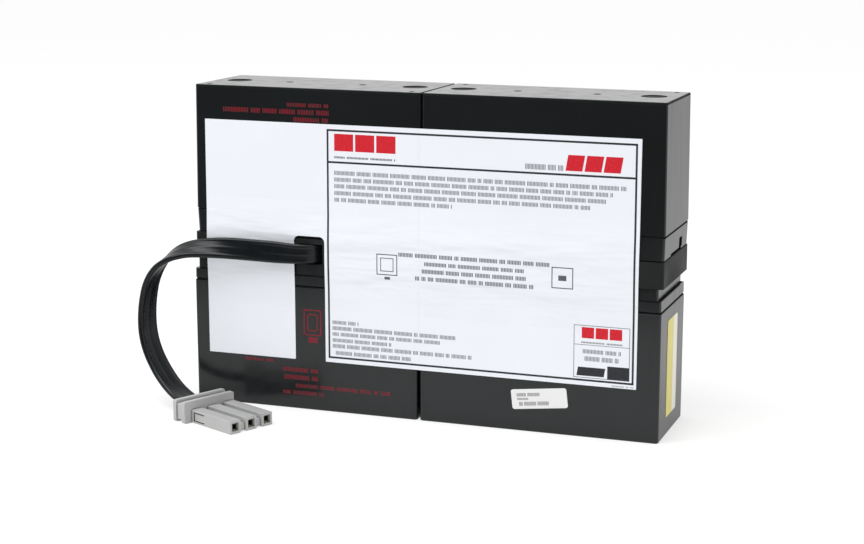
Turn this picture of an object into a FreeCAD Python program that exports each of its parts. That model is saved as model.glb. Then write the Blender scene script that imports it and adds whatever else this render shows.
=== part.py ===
"""Replacement battery cartridge for a rack or desk-side uninterruptible power supply.

Four sealed 12 V lead-acid batteries stand two by two.  The lower row stands
upright, the upper row is turned upside down, and a moulded spacer frame keeps
the two rows apart, so that all terminals face the wiring space inside it.
Push-on links, a jumper and three leads join the batteries in series.  The
leads leave through an outlet in the front of the spacer as one flat ribbon
cable that ends in a three-finger plug.

Units are millimetres.  X runs along the cartridge, Y from front to back and
Z up.  The origin is under the middle of the spacer frame, on the supporting surface.
"""
import FreeCAD, Part
import math
import os

Vector = FreeCAD.Vector
X_AXIS = Vector(1, 0, 0)
Y_AXIS = Vector(0, 1, 0)
Z_AXIS = Vector(0, 0, 1)
ORIGIN = Vector(0, 0, 0)

# ---------------------------------------------------------------- batteries
battery_length = 151.4      # over the lid
battery_width = 65.0
battery_height = 94.0
container_height = 79.2
container_overhang = 0.2    # container stands out from the lid, each side
container_draft = 0.35      # taper of each wall from the lid to the base
corner_radius = 2.0         # upright corners of container and lid
base_round = 0.8            # round along the container's base
joint_chamfer = 0.8         # both edges of the joint line, a V groove
tongue_inset = 3.0          # bonding tongue on the container's rim
tongue_width = 2.0
tongue_height = 2.2
tongue_clearance = 0.15

flange_height = 7.0         # lower row: full-size band of the stepped lid
lid_inset = 2.0             # lower row: step at the two ends of the lid
lid_side_inset = 0.9        # lower row: step along front and back
plain_lid_draft = 0.5       # upper row: taper of the plain lid
lid_edge_chamfer = 0.6
end_notch_width = 28.0      # upper row: finger notch in each end of the lid
end_notch_height = 2.0
end_notch_depth = 5.0
end_pocket_width = 8.0      # upper row: small pocket above the notch
end_pocket_height = 6.0
end_pocket_depth = 1.2
end_pocket_offset = 12.0

vent_far_margin = 17.7      # plate over the six relief valves, from the plain end
vent_near_margin = 33.7     # from the end with the terminals
vent_side_margin = 13.5
vent_thickness = 1.4
vent_clearance = 0.15
vent_notch = 6.0            # prising notches in the plate's ends

mark_depth = 0.5            # moulding marks in the container's base
gate_mark = 5.0
gate_mark_offset = 25.0
round_mark = 16.0
round_mark_end_distance = 15.7
pin_mark = 3.6
pin_mark_end_distance = 7.7
pin_mark_side_distance = 6.0

# ---------------------------------------------------------------- terminals
terminal_end_distance = 11.2    # from the battery's end to the tab
terminal_side_distance = 10.5   # from the battery's side to the tab
tab_width = 6.35
tab_thickness = 0.8
tab_rise = 6.3                  # above the lid
tab_chamfer = 1.0
tab_hole = 1.6
well_length = 7.0
well_width = 11.0
well_depth = 3.2
foot_length = 5.0
foot_width = 9.0
foot_thickness = 1.2

# ------------------------------------------------------------- arrangement
spacer_height = 16.0
upper_seam = 0.6
lower_seam = 1.4
upper_row_x = 0.55          # middle of the upper row, right of the spacer's middle
lower_row_x = -1.45         # middle of the lower row, left of the spacer's middle
spacer_overhang = 0.4       # spacer beyond the upper row's length, each end
spacer_proud = 0.8          # spacer beyond the batteries' width, each side
seam_pad_width = 54.0
seam_pad_height = 5.4

# ------------------------------------------------------------ spacer frame
spacer_wall = 2.2
rib = 1.8
spacer_floor = 1.6
lane_half = 13.0            # centre lines of the two long ribs
rib_start = 26.0            # first cross rib, from the middle
end_cell = 25.5             # from the last cross rib to the end wall
cells_per_side = 4
outlet_width = 17.2
outlet_height = 12.8
outlet_right_margin = 1.65  # from the cable's middle to the outlet's edge
chute_clearance = 0.4
chute_left_length = 7.0

# ------------------------------------------------------------ ribbon cable
ribbon_thickness = 3.8
conductors = 3
lead_diameter = 3.6
conductor_web = 0.47        # between two conductors of the ribbon
lead_flats = 8
ribbon_edge_cut = 1.0
bend_share = 0.45           # share of the shorter run that a bend takes
ribbon_route = [
    (-66.2, -12.0, 100.6),
    (-66.2, -38.3, 100.6),
    (-103.4, -39.6, 101.2),
    (-135.4, -41.2, 102.0),
    (-161.4, -42.6, 98.6),
    (-177.8, -43.3, 83.6),
    (-184.8, -42.9, 60.0),
    (-179.6, -45.1, 38.0),
    (-162.0, -53.4, 19.0),
    (-146.6, -60.8, 6.75),
    (-134.4, -66.55, 6.75),
]
ribbon_twist = [0.0, 0.08, 0.2, 0.24, 0.22, 0.16, 0.07, 0.03, 0.0, 0.0]

# -------------------------------------------------------------------- plug
finger_length = 37.9
finger_width = 7.95
finger_height = 8.25
finger_gap = 4.3
finger_count = 3
plate_near = 5.3            # flange plates beyond the near finger
plate_far = 0.5             # flange plates beyond the far finger
plate_height = 13.5
front_plate = 3.0
rear_plate = 2.8
plug_depth = 11.5           # over both plates and the panel groove
panel_groove_side = 0.9
panel_groove_top = 1.8
panel_groove_base = 1.2
plate_round = 1.2
finger_round = 0.5
web_start = 7.0
web_stop = 1.6
web_height = 5.2
socket_size = 5.1
socket_depth = 17.6
ribbon_pocket = 1.5
pocket_clearance = 0.2
latch_slit = 0.7
latch_length = 10.5
latch_height = 4.4
latch_start = 2.0
latch_window = 1.3
latch_depth = 1.0

contact_clearance = 0.2     # between a contact and its socket, each side
contact_wall = 0.5
contact_length = 16.0
contact_split = 0.6
leaf_thickness = 0.4
leaf_width = 2.2
leaf_length = 6.0
leaf_drop = 1.3

# ----------------------------------------------------- push-on connections
receptacle_gap = 0.3        # between a receptacle and the lid
receptacle_apart = 0.6      # between a lower and an upper receptacle
receptacle_length = 8.6
receptacle_thickness = 4.4
tab_clearance = 0.15        # round a tab in its slot
tab_end_clearance = 0.6     # beyond a tab's tip
barrel_diameter = 5.2
barrel_length = 7.0
barrel_bore_depth = 5.5
barrel_clearance = 0.1
twin_barrel_offset = 2.7
twin_bridge = 3.0

# -------------------------------------------------------- label and stickers
film_gap = 0.05
label_thickness = 0.25
label_bottom = 32.3
label_top = 182.4
label_left_bottom = 7.3     # from the upper row's left end
label_left_top = 7.0
label_right_bottom = 15.5   # from the upper row's right end
label_right_top = 14.6
slot_margin_left = 2.0      # label's slot beyond the outlet
slot_margin_right = 1.4
slot_margin_top = 4.95
label_slot_round = 3.5
sticker_thickness = 0.15
small_sticker_length = 35.2
small_sticker_height = 12.3
small_sticker_x = 78.3      # from the lower row's middle
small_sticker_z = 21.3
small_sticker_turn = 6.4
small_sticker_round = 1.5
end_sticker_width = 26.0
end_sticker_bottom = 11.0
end_sticker_top = 71.0
end_sticker_round = 2.0

# -------------------------------------------------------- worked-out sizes
lower_row_half = battery_length + lower_seam / 2
upper_row_half = battery_length + upper_seam / 2
spacer_half = upper_row_half + spacer_overhang
spacer_width = battery_width + 2 * spacer_proud
spacer_bottom = battery_height
spacer_top = battery_height + spacer_height
overall_height = 2 * battery_height + spacer_height
battery_offset = {
    "lower": (battery_length + lower_seam) / 2,
    "upper": (battery_length + upper_seam) / 2,
}
terminal_x = battery_length / 2 - terminal_end_distance
terminal_y = battery_width / 2 - terminal_side_distance
vent_length = battery_length - vent_far_margin - vent_near_margin
vent_width = battery_width - 2 * vent_side_margin
vent_x = (vent_far_margin - vent_near_margin) / 2
rib_pitch = (spacer_half - spacer_wall - end_cell - rib_start) / cells_per_side
receptacle_height = (spacer_height - 2 * receptacle_gap - receptacle_apart) / 2
contact_size = socket_size - 2 * contact_clearance
conductor_pitch = lead_diameter + conductor_web
ribbon_width = conductors * conductor_pitch
ribbon_points = [Vector(*point) for point in ribbon_route]
outlet_x = ribbon_points[0].x

made = {}


def keep(name, shape):
    """Remember one named piece and write it as a STEP file."""
    made[name] = shape
    shape.exportStep(os.path.join("parts", name + ".step"))


# ------------------------------------------------------------ basic shapes
def block(x_size, y_size, z_size, x_mid, y_mid, z_low):
    """A box given by its sizes, the middle of its footprint and its base."""
    corner = Vector(x_mid - x_size / 2, y_mid - y_size / 2, z_low)
    return Part.makeBox(x_size, y_size, z_size, corner)


def upright_edges(shape):
    """The edges that run mostly along Z."""
    found = []
    for edge in shape.Edges:
        span = edge.Vertexes[-1].Point - edge.Vertexes[0].Point
        if abs(span.z) > 0.9 * span.Length > 0:
            found.append(edge)
    return found


def level_edges(shape, height):
    """The edges that lie in the plane at this height."""
    found = []
    for edge in shape.Edges:
        if abs(edge.BoundBox.ZMin - height) < 1e-4 and abs(edge.BoundBox.ZMax - height) < 1e-4:
            found.append(edge)
    return found


def tapered_block(base, top, z_low, z_high, radius):
    """A block whose base and top are centred rectangles, with round corners."""
    wedge = Part.makeWedge(
        -base[0] / 2, z_low, -base[1] / 2, -top[1] / 2, -top[0] / 2,
        base[0] / 2, z_high, base[1] / 2, top[1] / 2, top[0] / 2,
    )
    wedge.rotate(ORIGIN, X_AXIS, 90)
    return wedge.makeFillet(radius, upright_edges(wedge))


def round_block(x_size, y_size, z_size, z_low, radius):
    """A box centred on Z whose upright edges are rounded."""
    box = block(x_size, y_size, z_size, 0, 0, z_low)
    return box.makeFillet(radius, upright_edges(box))


def rim(x_size, y_size, width, z_low, z_high):
    """A rectangular ring of this outer size, wall width and height."""
    outer = block(x_size, y_size, z_high - z_low, 0, 0, z_low)
    inner = block(x_size - 2 * width, y_size - 2 * width, z_high - z_low, 0, 0, z_low)
    return outer.cut(inner)


# --------------------------------------------------------------- batteries
def tongue_ring(clearance):
    """The bonding tongue on the container's rim, or the groove that takes it."""
    x_size = battery_length - 2 * tongue_inset + 2 * clearance
    y_size = battery_width - 2 * tongue_inset + 2 * clearance
    width = tongue_width + 2 * clearance
    return rim(x_size, y_size, width, container_height, container_height + tongue_height + clearance)


def container():
    """The cell container: drafted walls, rounded base, moulding marks, tongue."""
    rim_size = (battery_length + 2 * container_overhang, battery_width + 2 * container_overhang)
    base_size = (rim_size[0] - 2 * container_draft, rim_size[1] - 2 * container_draft)
    body = tapered_block(base_size, rim_size, 0, container_height, corner_radius)
    body = body.makeFillet(base_round, level_edges(body, 0))
    body = body.makeChamfer(joint_chamfer, level_edges(body, container_height))
    marks = []
    for side in (-1, 1):
        small = Vector(side * gate_mark_offset, 0, 0)
        large = Vector(side * (battery_length / 2 - round_mark_end_distance), 0, 0)
        pin_y = battery_width / 2 - pin_mark_side_distance
        corner = Vector(side * (battery_length / 2 - pin_mark_end_distance), pin_y, 0)
        marks.append(Part.makeCylinder(gate_mark / 2, mark_depth, small))
        marks.append(Part.makeCylinder(round_mark / 2, mark_depth, large))
        marks.append(Part.makeCylinder(pin_mark / 2, mark_depth, corner))
    return body.cut(marks).fuse(tongue_ring(0)).removeSplitter()


def lid_openings():
    """What is cut from every lid: groove, vent plate pocket, terminal wells."""
    pocket_size = (vent_length + 2 * vent_clearance, vent_width + 2 * vent_clearance)
    pocket_low = battery_height - vent_thickness
    cuts = [tongue_ring(tongue_clearance)]
    cuts.append(block(*pocket_size, vent_thickness, vent_x, 0, pocket_low))
    for side in (-1, 1):
        well_low = battery_height - well_depth
        cuts.append(block(well_length, well_width, well_depth, terminal_x, side * terminal_y, well_low))
    return cuts


def stepped_lid():
    """Lower row: a full-size band with a smaller raised part on it."""
    band = round_block(battery_length, battery_width, flange_height, container_height, corner_radius)
    band = band.makeChamfer(joint_chamfer, level_edges(band, container_height))
    raised_size = (battery_length - 2 * lid_inset, battery_width - 2 * lid_side_inset)
    raised_low = container_height + flange_height
    raised = round_block(*raised_size, battery_height - raised_low, raised_low, corner_radius)
    raised = raised.makeChamfer(lid_edge_chamfer, level_edges(raised, battery_height))
    return band.fuse(raised).removeSplitter().cut(lid_openings())


def plain_lid():
    """Upper row: one drafted block with a finger notch and pocket at each end."""
    joint_size = (battery_length, battery_width)
    top_size = (battery_length - 2 * plain_lid_draft, battery_width - 2 * plain_lid_draft)
    body = tapered_block(joint_size, top_size, container_height, battery_height, corner_radius)
    body = body.makeChamfer(lid_edge_chamfer, level_edges(body, battery_height))
    body = body.makeChamfer(joint_chamfer / 2, level_edges(body, container_height))
    cuts = lid_openings()
    notch_low = battery_height - end_notch_height
    pocket_low = notch_low - end_pocket_height
    for side in (-1, 1):
        end = side * battery_length / 2
        cuts.append(block(2 * end_notch_depth, end_notch_width, end_notch_height, end, 0, notch_low))
        deep = 2 * (plain_lid_draft + end_pocket_depth)
        cuts.append(block(deep, end_pocket_width, end_pocket_height, end, end_pocket_offset, pocket_low))
    return body.cut(cuts)


def vent_cover():
    """The plate over the relief valves, flush with the lid."""
    plate = block(vent_length, vent_width, vent_thickness, vent_x, 0, battery_height - vent_thickness)
    plate = plate.makeFillet(1.0, upright_edges(plate))
    notches = []
    for side in (-1, 1):
        place = Vector(vent_x + side * vent_length / 2, 0, battery_height - vent_thickness / 2)
        notches.append(Part.makeCylinder(vent_notch / 2, vent_thickness, place))
    return plate.cut(notches)


def terminal(side):
    """A push-on tab with its foot in the lid's well."""
    y_mid = side * terminal_y
    floor = battery_height - well_depth
    foot = block(foot_length, foot_width, foot_thickness, terminal_x, y_mid, floor)
    tab = block(tab_thickness, tab_width, well_depth + tab_rise, terminal_x, y_mid, floor)
    tips = [edge for edge in level_edges(tab, battery_height + tab_rise) if edge.Length < 1.5 * tab_thickness]
    tab = tab.makeChamfer(tab_chamfer, tips)
    hole_place = Vector(terminal_x - tab_thickness, y_mid, battery_height + 0.6 * tab_rise)
    hole = Part.makeCylinder(tab_hole / 2, 2 * tab_thickness, hole_place, X_AXIS)
    return foot.fuse(tab).cut(hole).removeSplitter()


def place_battery(shape, row, column):
    """Stand a battery piece in its row (lower or upper) and column (left or right)."""
    placed = shape.copy()
    if column == "right":
        placed.rotate(ORIGIN, Z_AXIS, 180)
    side = -1 if column == "left" else 1
    if row == "lower":
        placed.translate(Vector(lower_row_x + side * battery_offset[row], 0, 0))
        return placed
    placed.rotate(ORIGIN, X_AXIS, 180)
    placed.translate(Vector(upper_row_x + side * battery_offset[row], 0, overall_height))
    return placed


def make_batteries():
    """Four batteries: container, lid, vent plate and two tabs each."""
    case = container()
    lids = {"lower": stepped_lid(), "upper": plain_lid()}
    cover = vent_cover()
    tabs = {"negative": terminal(1), "positive": terminal(-1)}
    for row in ("lower", "upper"):
        for column in ("left", "right"):
            name = "battery_" + row + "_" + column
            keep(name + "_case", place_battery(case, row, column))
            keep(name + "_lid", place_battery(lids[row], row, column))
            keep(name + "_vent_cover", place_battery(cover, row, column))
            for pole, tab in tabs.items():
                keep(name + "_tab_" + pole, place_battery(tab, row, column))


# ------------------------------------------------------------ spacer frame
def spacer_cross_ribs():
    """Positions of the cross ribs, as signed distances from the spacer's middle."""
    places = [rib_start + index * rib_pitch for index in range(cells_per_side + 1)]
    return [side * place for side in (-1, 1) for place in places]


def spacer_frame():
    """Ring wall with long ribs, cross ribs, floor strips, chute and outlet."""
    outer = round_block(2 * spacer_half, spacer_width, spacer_height, spacer_bottom, corner_radius)
    inner_size = (2 * (spacer_half - spacer_wall), spacer_width - 2 * spacer_wall)
    inner = round_block(*inner_size, spacer_height, spacer_bottom, corner_radius - spacer_wall / 2)
    frame = outer.cut(inner)
    wall_y = spacer_width / 2 - spacer_wall
    rib_end = rib_start + cells_per_side * rib_pitch
    rib_span = rib_end - rib_start + rib
    rib_mid = (rib_start + rib_end) / 2
    cell_depth = wall_y - lane_half + rib / 2
    cell_mid = wall_y - cell_depth / 2
    chute_gap = ribbon_thickness + 2 * chute_clearance
    chute_x = outlet_x
    bay = (chute_x - chute_gap / 2 - outlet_width - rib, chute_x + chute_gap / 2 + rib)
    pieces = []
    for side in (-1, 1):
        for face in (-1, 1):
            pieces.append(block(rib_span, rib, spacer_height, side * rib_mid, face * lane_half, spacer_bottom))
            strip_y = face * cell_mid
            pieces.append(block(rib_span, cell_depth, spacer_floor, side * rib_mid, strip_y, spacer_bottom))
    for place in spacer_cross_ribs():
        for face in (-1, 1):
            pieces.append(block(rib, cell_depth, spacer_height, place, face * cell_mid, spacer_bottom))
        if place > rib_start + rib or place < bay[0]:
            pieces.append(block(rib, 2 * lane_half, spacer_height, place, 0, spacer_bottom))
    lattice = pieces[0].fuse(pieces[1:])
    bay_depth = wall_y - lane_half + rib
    bay_cut = block(bay[1] - bay[0], bay_depth, spacer_height, sum(bay) / 2, -wall_y + bay_depth / 2, spacer_bottom)
    lattice = lattice.cut(bay_cut)
    right_length = wall_y - lane_half + rib / 2
    left_length = chute_left_length
    chute = []
    right_x = chute_x + chute_gap / 2 + rib / 2
    left_x = chute_x - chute_gap / 2 - rib / 2
    chute.append(block(rib, right_length, spacer_height, right_x, -wall_y + right_length / 2, spacer_bottom))
    left_y = -lane_half + rib / 2 - left_length / 2
    chute.append(block(rib, left_length, spacer_height, left_x, left_y, spacer_bottom))
    bridge = left_x - bay[0]
    chute.append(block(bridge, rib, spacer_height, bay[0] + bridge / 2, -lane_half, spacer_bottom))
    frame = frame.fuse([lattice] + chute)
    outlet_mid = chute_x + outlet_right_margin - outlet_width / 2
    outlet = block(outlet_width, 3 * spacer_wall, outlet_height, outlet_mid, -spacer_width / 2, spacer_bottom)
    return frame.cut(outlet).removeSplitter()


def seam_pad():
    """Foam pad between the lid bands of the two lower batteries."""
    low = container_height + (flange_height - seam_pad_height) / 2
    return block(lower_seam, seam_pad_width, seam_pad_height, lower_row_x, 0, low)


# ----------------------------------------------------- push-on connections
def tab_x(row, column):
    """Where a battery's tabs stand along X."""
    middle = lower_row_x if row == "lower" else upper_row_x
    side = -1 if column == "left" else 1
    return middle + side * (battery_offset[row] - terminal_x)


def barrel_level(row):
    """Height of a receptacle's crimp barrel."""
    rise = receptacle_gap + receptacle_height / 2
    return spacer_bottom + rise if row == "lower" else spacer_top - rise


def tab_slot(x_place, y_place, row):
    """The slot that slides over a tab, open towards the battery."""
    thickness = tab_thickness + 2 * tab_clearance
    depth = tab_rise + tab_end_clearance
    slot = block(thickness, tab_width + 2 * tab_clearance, depth, x_place, y_place, spacer_bottom)
    if row == "upper":
        slot.translate(Vector(0, 0, spacer_height - depth))
    return slot


def receptacle(row, column, barrels=(0.0,)):
    """Flag receptacle on a rear tab, with one or two barrels towards the front."""
    x_place = tab_x(row, column)
    low = barrel_level(row) - receptacle_height / 2
    body = block(receptacle_thickness, receptacle_length, receptacle_height, x_place, terminal_y, low)
    front = terminal_y - receptacle_length / 2
    for offset in barrels:
        start = Vector(x_place + offset, front + 1.0, barrel_level(row))
        body = body.fuse(Part.makeCylinder(barrel_diameter / 2, barrel_length + 1.0, start, -Y_AXIS))
    if len(barrels) > 1:
        span = max(barrels) - min(barrels) + barrel_diameter
        body = body.fuse(block(span, twin_bridge, receptacle_height, x_place, front + twin_bridge / 2 - 1.0, low))
    body = body.cut(tab_slot(x_place, terminal_y, row))
    for offset in barrels:
        mouth = Vector(x_place + offset, front - barrel_length, barrel_level(row))
        bore = Part.makeCylinder(lead_diameter / 2 + barrel_clearance, barrel_bore_depth, mouth, Y_AXIS)
        body = body.cut(bore)
    return body.removeSplitter()


def lead_end_y():
    """Where a crimped lead ends, on the floor of its barrel."""
    return terminal_y - receptacle_length / 2 - barrel_length + barrel_bore_depth


def series_link(column):
    """Double receptacle from a lower front tab straight up to the upper one."""
    low_x = tab_x("lower", column)
    high_x = tab_x("upper", column)
    size = abs(high_x - low_x) + receptacle_thickness
    height = spacer_height - 2 * receptacle_gap
    middle = (low_x + high_x) / 2
    body = block(size, receptacle_length, height, middle, -terminal_y, spacer_bottom + receptacle_gap)
    body = body.makeFillet(0.6, upright_edges(body))
    return body.cut([tab_slot(low_x, -terminal_y, "lower"), tab_slot(high_x, -terminal_y, "upper")])


# ------------------------------------------------------- cables and leads
def bend(before, corner, after):
    """Tangent bend at a corner of a route: start, middle, end and radius."""
    run_in = (corner - before).Length
    run_out = (after - corner).Length
    heading_in = (corner - before).normalize()
    heading_out = (after - corner).normalize()
    turn = heading_in.getAngle(heading_out)
    reach = bend_share * min(run_in, run_out)
    radius = reach / math.tan(turn / 2)
    start = corner - heading_in * reach
    end = corner + heading_out * reach
    inward = (heading_out - heading_in).normalize()
    centre = corner + inward * (radius / math.cos(turn / 2))
    middle = centre - inward * radius
    return start, middle, end, radius, turn, centre


def bends(points):
    """One bend for each inner point of a route."""
    return [bend(*points[index:index + 3]) for index in range(len(points) - 2)]


def route_wire(points):
    """Straight runs joined by tangent arcs."""
    edges = []
    last = points[0]
    for start, middle, end, radius, turn, centre in bends(points):
        edges.append(Part.LineSegment(last, start).toShape())
        edges.append(Part.Arc(start, middle, end).toShape())
        last = end
    edges.append(Part.LineSegment(last, points[-1]).toShape())
    return Part.Wire(edges)


def turned(vector, axis, angle):
    """A direction turned about an axis by an angle in degrees."""
    return FreeCAD.Rotation(axis, angle).multVec(vector)


def polygon(centre, heading, across, outline):
    """A flat outline set across a heading: (along across, along thin) corners."""
    thin = heading.cross(across).normalize()
    corners = [centre + across * a + thin * b for a, b in outline]
    return Part.makePolygon(corners + corners[:1])


def carried(points, across, outline, twists):
    """Carry an outline along a route: runs may twist, bends turn it rigidly."""
    solids = []
    last = points[0]
    for index, corner in enumerate(bends(points) + [None]):
        heading = (points[index + 1] - points[index]).normalize()
        stop = corner[0] if corner else points[-1]
        first = polygon(last, heading, across, outline)
        if twists[index]:
            across = turned(across, heading, twists[index])
            solids.append(Part.makeLoft([first, polygon(stop, heading, across, outline)], True, True))
        else:
            solids.append(Part.Face(first).extrude(stop - last))
        if corner:
            start, middle, end, radius, turn, centre = corner
            axis = (middle - start).cross(end - middle).normalize()
            face = Part.Face(polygon(stop, heading, across, outline))
            solids.append(face.revolve(centre, axis, math.degrees(turn)))
            across = turned(across, axis, math.degrees(turn))
            last = end
    return solids[0].fuse(solids[1:])


def report_bends(name, points, shape, outline):
    """Print each bend radius, and the volume against section times length."""
    radii = [round(item[3], 1) for item in bends(points)]
    length = route_wire(points).Length
    area = Part.Face(polygon(ORIGIN, Z_AXIS, X_AXIS, outline)).Area
    ratio = shape.Volume / (area * length)
    print(name, "length", round(length, 1), "radii", radii, "volume ratio", round(ratio, 4))


def round_lead(name, points):
    """A round insulated lead along a route, drawn with a few flats."""
    radius = lead_diameter / 2
    steps = [2 * math.pi * step / lead_flats for step in range(lead_flats)]
    outline = [(radius * math.cos(step), radius * math.sin(step)) for step in steps]
    across = (points[1] - points[0]).cross(Z_AXIS).normalize()
    shape = carried(points, across, outline, [0.0] * (len(points) - 1))
    report_bends(name, points, shape, outline)
    return shape


def conductor_z(index):
    """Height of one of the ribbon's conductors where the ribbon begins."""
    return ribbon_points[0].z + (index - (conductors - 1) / 2) * conductor_pitch


def lead_to_ribbon(name, start, waypoints, index):
    """A lead from a barrel to the ribbon's end, where it meets its conductor."""
    level = conductor_z(index)
    end = ribbon_points[0]
    points = [start] + [Vector(*point) for point in waypoints]
    points.append(Vector(end.x, end.y + 15.5, level))
    points.append(Vector(end.x, end.y, level))
    return round_lead(name, points)


def make_leads():
    """The jumper between the upper batteries and the three leads."""
    end_y = lead_end_y()
    high = barrel_level("upper")
    low = barrel_level("lower")
    left_high = tab_x("upper", "left")
    right_high = tab_x("upper", "right")
    left_low = tab_x("lower", "left")
    right_low = tab_x("lower", "right")
    jumper_x = left_high + twin_barrel_offset
    jumper = [
        Vector(jumper_x, end_y, high),
        Vector(jumper_x, end_y - 14.2, high),
        Vector(right_high, end_y - 14.2, high),
        Vector(right_high, end_y, high),
    ]
    keep("jumper_wire", round_lead("jumper_wire", jumper))
    tap_x = left_high - twin_barrel_offset
    tap_way = [(tap_x, end_y - 13.2, high), (-30.0, 1.0, conductor_z(2) + 0.3), (-47.0, 3.0, conductor_z(2))]
    tap = lead_to_ribbon("lead_middle", Vector(tap_x, end_y, high), tap_way, 2)
    keep("lead_middle", tap)
    minus_way = [(left_low, end_y - 12.7, low), (-30.0, 0.5, conductor_z(1)), (-47.0, 2.7, conductor_z(1))]
    minus = lead_to_ribbon("lead_negative", Vector(left_low, end_y, low), minus_way, 1)
    keep("lead_negative", minus)
    plus_way = [(right_low, end_y - 19.2, low), (-12.0, -6.5, low - 1.0), (-38.0, 1.5, conductor_z(0))]
    plus = lead_to_ribbon("lead_positive", Vector(right_low, end_y, low), plus_way, 0)
    keep("lead_positive", plus)


# ------------------------------------------------------------ ribbon cable
def ribbon_outline():
    """Flat section whose four long edges are cut off."""
    half = ribbon_width / 2
    thin = ribbon_thickness / 2
    cut = ribbon_edge_cut
    return [
        (half, -thin + cut), (half, thin - cut), (half - cut, thin), (cut - half, thin),
        (-half, thin - cut), (-half, cut - thin), (cut - half, -thin), (half - cut, -thin),
    ]


def untwisted(points, across):
    """The width direction after the whole route, carried without twist."""
    for start, middle, end, radius, turn, centre in bends(points):
        axis = (middle - start).cross(end - middle)
        across = turned(across, axis, math.degrees(turn))
    return across


def ribbon_cable():
    """The ribbon: upright where it leaves, flat where it enters the plug."""
    points = ribbon_points
    heading = (points[-1] - points[-2]).normalize()
    goal = heading.cross(Z_AXIS)
    plain = untwisted(points, -Z_AXIS)
    total = math.degrees(plain.getAngle(goal))
    if plain.cross(goal).dot(heading) < 0:
        total = -total
    twists = [total * share / sum(ribbon_twist) for share in ribbon_twist]
    cable = carried(points, -Z_AXIS, ribbon_outline(), twists)
    report_bends("ribbon_cable", points, cable, ribbon_outline())
    print("ribbon_cable twist", round(total, 1))
    return cable


# -------------------------------------------------------------------- plug
def plug_width():
    """Width over the plug's fingers."""
    return finger_count * finger_width + (finger_count - 1) * finger_gap


def plug_block(u_low, u_high, v_low, v_high, w_low, w_high):
    """A box in the plug's own frame: u along the fingers, v across, w up."""
    return Part.makeBox(u_high - u_low, v_high - v_low, w_high - w_low, Vector(u_low, v_low, w_low))


def along_u(shape):
    """The edges of a shape that run along u."""
    return [edge for edge in shape.Edges if edge.BoundBox.XLength > 0.99 * shape.BoundBox.XLength]


def plug_fingers():
    """The three fingers, each with its socket, and the webs between them."""
    shapes = []
    sockets = []
    for index in range(finger_count):
        near = index * (finger_width + finger_gap)
        finger = plug_block(0, finger_length, near, near + finger_width, 0, finger_height)
        shapes.append(finger.makeFillet(finger_round, along_u(finger)))
        v_mid = near + finger_width / 2
        w_mid = finger_height / 2
        half = socket_size / 2
        deep = finger_length - socket_depth
        sockets.append(plug_block(deep, finger_length, v_mid - half, v_mid + half, w_mid - half, w_mid + half))
        if index:
            web_near = near - finger_gap - finger_round
            web = plug_block(web_start, finger_length - web_stop, web_near, near + finger_round, finger_round, web_height)
            shapes.append(web)
    return shapes, sockets


def latch_cuts(outer_v, inward):
    """U-shaped slit and window that free a latch tongue in a finger's side."""
    depths = sorted((outer_v, outer_v + inward * latch_depth))
    low = (finger_height - latch_height) / 2
    high = low + latch_height
    end = latch_start + latch_length
    return [
        plug_block(latch_start, end, *depths, low - latch_slit, low),
        plug_block(latch_start, end, *depths, high, high + latch_slit),
        plug_block(latch_start, latch_start + latch_window, *depths, low, high),
    ]


def plug_housing():
    """Moulded housing: two flange plates with a panel groove, and the fingers."""
    v_low = -plate_near
    v_high = plug_width() + plate_far
    front = plug_block(-front_plate, 0, v_low, v_high, 0, plate_height)
    rear = plug_block(-plug_depth, rear_plate - plug_depth, v_low, v_high, 0, plate_height)
    front = front.makeFillet(plate_round, along_u(front))
    rear = rear.makeFillet(plate_round, along_u(rear))
    core = plug_block(
        -plug_depth + rear_plate / 2, -front_plate / 2,
        v_low + panel_groove_side, v_high - panel_groove_side,
        panel_groove_base, plate_height - panel_groove_top,
    )
    core = core.makeFillet(plate_round, along_u(core))
    fingers, sockets = plug_fingers()
    body = front.fuse([rear, core] + fingers)
    pocket_v = ribbon_width / 2 + pocket_clearance
    pocket_w = ribbon_thickness / 2 + pocket_clearance
    v_mid = (v_low + v_high) / 2
    w_mid = ribbon_points[-1].z
    pocket = plug_block(
        -plug_depth, -plug_depth + ribbon_pocket,
        v_mid - pocket_v, v_mid + pocket_v, w_mid - pocket_w, w_mid + pocket_w,
    )
    cuts = sockets + [pocket] + latch_cuts(0, 1) + latch_cuts(plug_width(), -1)
    return body.cut(cuts).removeSplitter()


def plug_contact(index):
    """Folded brass box with two spring leaves, on the floor of its socket."""
    near = index * (finger_width + finger_gap)
    v_mid = near + finger_width / 2
    w_mid = finger_height / 2
    half = contact_size / 2
    inner = half - contact_wall
    rear = finger_length - socket_depth
    front = rear + contact_length
    box = plug_block(rear, front, v_mid - half, v_mid + half, w_mid - half, w_mid + half)
    bore = plug_block(rear + contact_wall, front, v_mid - inner, v_mid + inner, w_mid - inner, w_mid + inner)
    split = plug_block(rear, front, v_mid - contact_split / 2, v_mid + contact_split / 2, w_mid + inner, w_mid + half)
    box = box.cut([bore, split])
    for side in (-1, 1):
        root = w_mid + side * inner
        tip = root - side * leaf_drop
        over = root + side * leaf_thickness / 2
        under = tip + side * leaf_thickness
        outline = [
            Vector(front, v_mid - leaf_width / 2, over), Vector(front, v_mid - leaf_width / 2, root - side * 0.2),
            Vector(front - leaf_length, v_mid - leaf_width / 2, tip),
            Vector(front - leaf_length, v_mid - leaf_width / 2, under),
        ]
        face = Part.Face(Part.makePolygon(outline + outline[:1]))
        box = box.fuse(face.extrude(Vector(0, leaf_width, 0)))
    return box.removeSplitter()


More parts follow.
